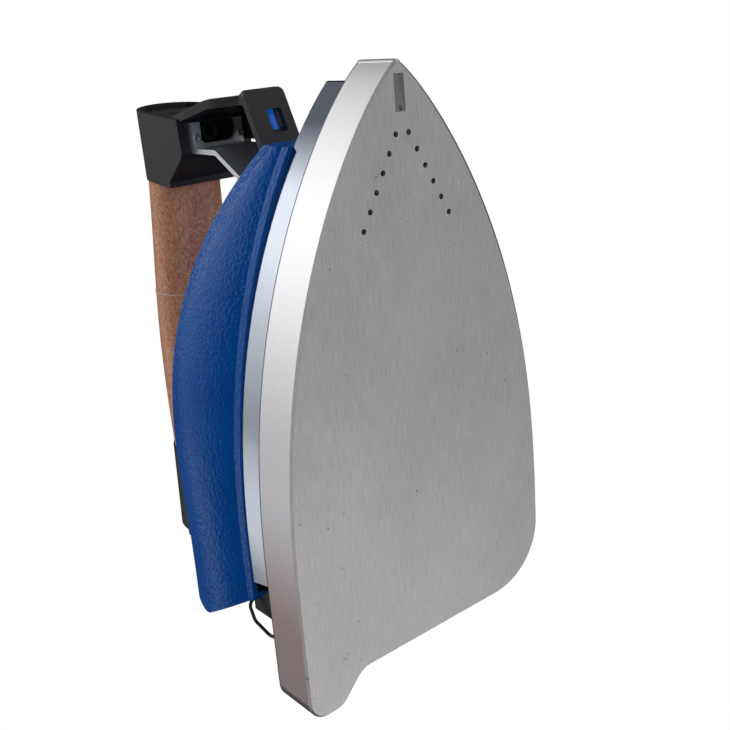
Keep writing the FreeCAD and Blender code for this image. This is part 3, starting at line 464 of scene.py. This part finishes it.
def shaded_band(tree, direction, stops, start, full):
    """Light that varies along Y and comes in between two heights of the sky."""
    split = tree.nodes.new("ShaderNodeSeparateXYZ")
    tree.links.new(direction, split.inputs[0])
    along = tree.nodes.new("ShaderNodeMapRange")
    along.inputs["From Min"].default_value = -1.0
    tree.links.new(split.outputs["Y"], along.inputs["Value"])
    ramp = tree.nodes.new("ShaderNodeValToRGB")
    while len(ramp.color_ramp.elements) < len(stops):
        ramp.color_ramp.elements.new(0.5)
    for element, (place, value) in zip(ramp.color_ramp.elements, stops):
        element.position = (place + 1) / 2
        element.color = grey(value)
    tree.links.new(along.outputs["Result"], ramp.inputs[0])
    height = tree.nodes.new("ShaderNodeMapRange")
    height.interpolation_type = "SMOOTHSTEP"
    height.inputs["From Min"].default_value = start
    height.inputs["From Max"].default_value = full
    tree.links.new(split.outputs["Z"], height.inputs["Value"])
    return product(tree, ramp.outputs["Color"], height.outputs["Result"])


def product(tree, first, second):
    """Two values multiplied."""
    made = tree.nodes.new("ShaderNodeMath")
    made.operation = "MULTIPLY"
    tree.links.new(first, made.inputs[0])
    tree.links.new(second, made.inputs[1])
    return made.outputs[0]


def side_share(tree, direction, start, full):
    """Share from 0 to 1 between two places on a slant across the sky."""
    slant = tree.nodes.new("ShaderNodeVectorMath")
    slant.operation = "DOT_PRODUCT"
    slant.inputs[1].default_value = (1.0, 0.5, 0.0)
    tree.links.new(direction, slant.inputs[0])
    across = tree.nodes.new("ShaderNodeMapRange")
    across.interpolation_type = "SMOOTHSTEP"
    across.inputs["From Min"].default_value = start
    across.inputs["From Max"].default_value = full
    tree.links.new(slant.outputs["Value"], across.inputs["Value"])
    return across.outputs["Result"]


def white_surroundings(level):
    """White behind the object; light from above and below that varies along the iron."""
    world = bpy.data.worlds.new("studio")
    bpy.context.scene.world = world
    world.use_nodes = True
    tree = world.node_tree
    seen = tree.nodes["Background"]
    seen.inputs["Color"].default_value = grey(1.0)
    direction = tree.nodes.new("ShaderNodeTexCoord").outputs["Generated"]
    above = product(tree, shaded_band(tree, direction, sky_above, 0.30, 0.62),
                    side_share(tree, direction, -0.12, -0.28))
    below = shaded_band(tree, direction, sky_below, -0.30, -0.52)
    total = tree.nodes.new("ShaderNodeMath")
    total.operation = "ADD"
    tree.links.new(above, total.inputs[0])
    tree.links.new(below, total.inputs[1])
    lit = tree.nodes.new("ShaderNodeBackground")
    lit.inputs["Color"].default_value = grey(1.0)
    raised = tree.nodes.new("ShaderNodeMath")
    raised.operation = "ADD"
    raised.inputs[1].default_value = level
    tree.links.new(total.outputs[0], raised.inputs[0])
    tree.links.new(raised.outputs[0], lit.inputs["Strength"])
    path = tree.nodes.new("ShaderNodeLightPath")
    choose = tree.nodes.new("ShaderNodeMixShader")
    tree.links.new(path.outputs["Is Camera Ray"], choose.inputs[0])
    tree.links.new(lit.outputs[0], choose.inputs[1])
    tree.links.new(seen.outputs[0], choose.inputs[2])
    tree.links.new(choose.outputs[0], tree.nodes["World Output"].inputs["Surface"])


def photo_camera():
    """Camera below the sole's plane, in front and to the left, rolled so the tip is up."""
    right = Vector((0.7674, 0.0776, -0.6364))
    up = Vector((0.262, -0.944, 0.2008))
    back = right.cross(up).normalized()
    up = back.cross(right).normalized()
    data = bpy.data.cameras.new("camera")
    data.sensor_width = 36.0
    data.lens = 49.98
    data.clip_start = 10 * MM
    camera = bpy.data.objects.new("camera", data)
    place = Matrix((right.normalized(), up, back)).transposed().to_4x4()
    place.translation = Vector((-221.8, -117.45, -252.8)) * MM
    camera.matrix_world = place
    bpy.context.collection.objects.link(camera)
    bpy.context.scene.camera = camera


one_sided_floor()
key = panel("key_panel", (-0.40, -0.35, 1.30), 0.6, 5.6)
key.visible_glossy = False
panel("front_panel", (0.80, -1.05, 0.16), 0.9, 1.3)
white_surroundings(sky_all_round)
photo_camera()
bpy.context.scene.view_settings.view_transform = "Standard"
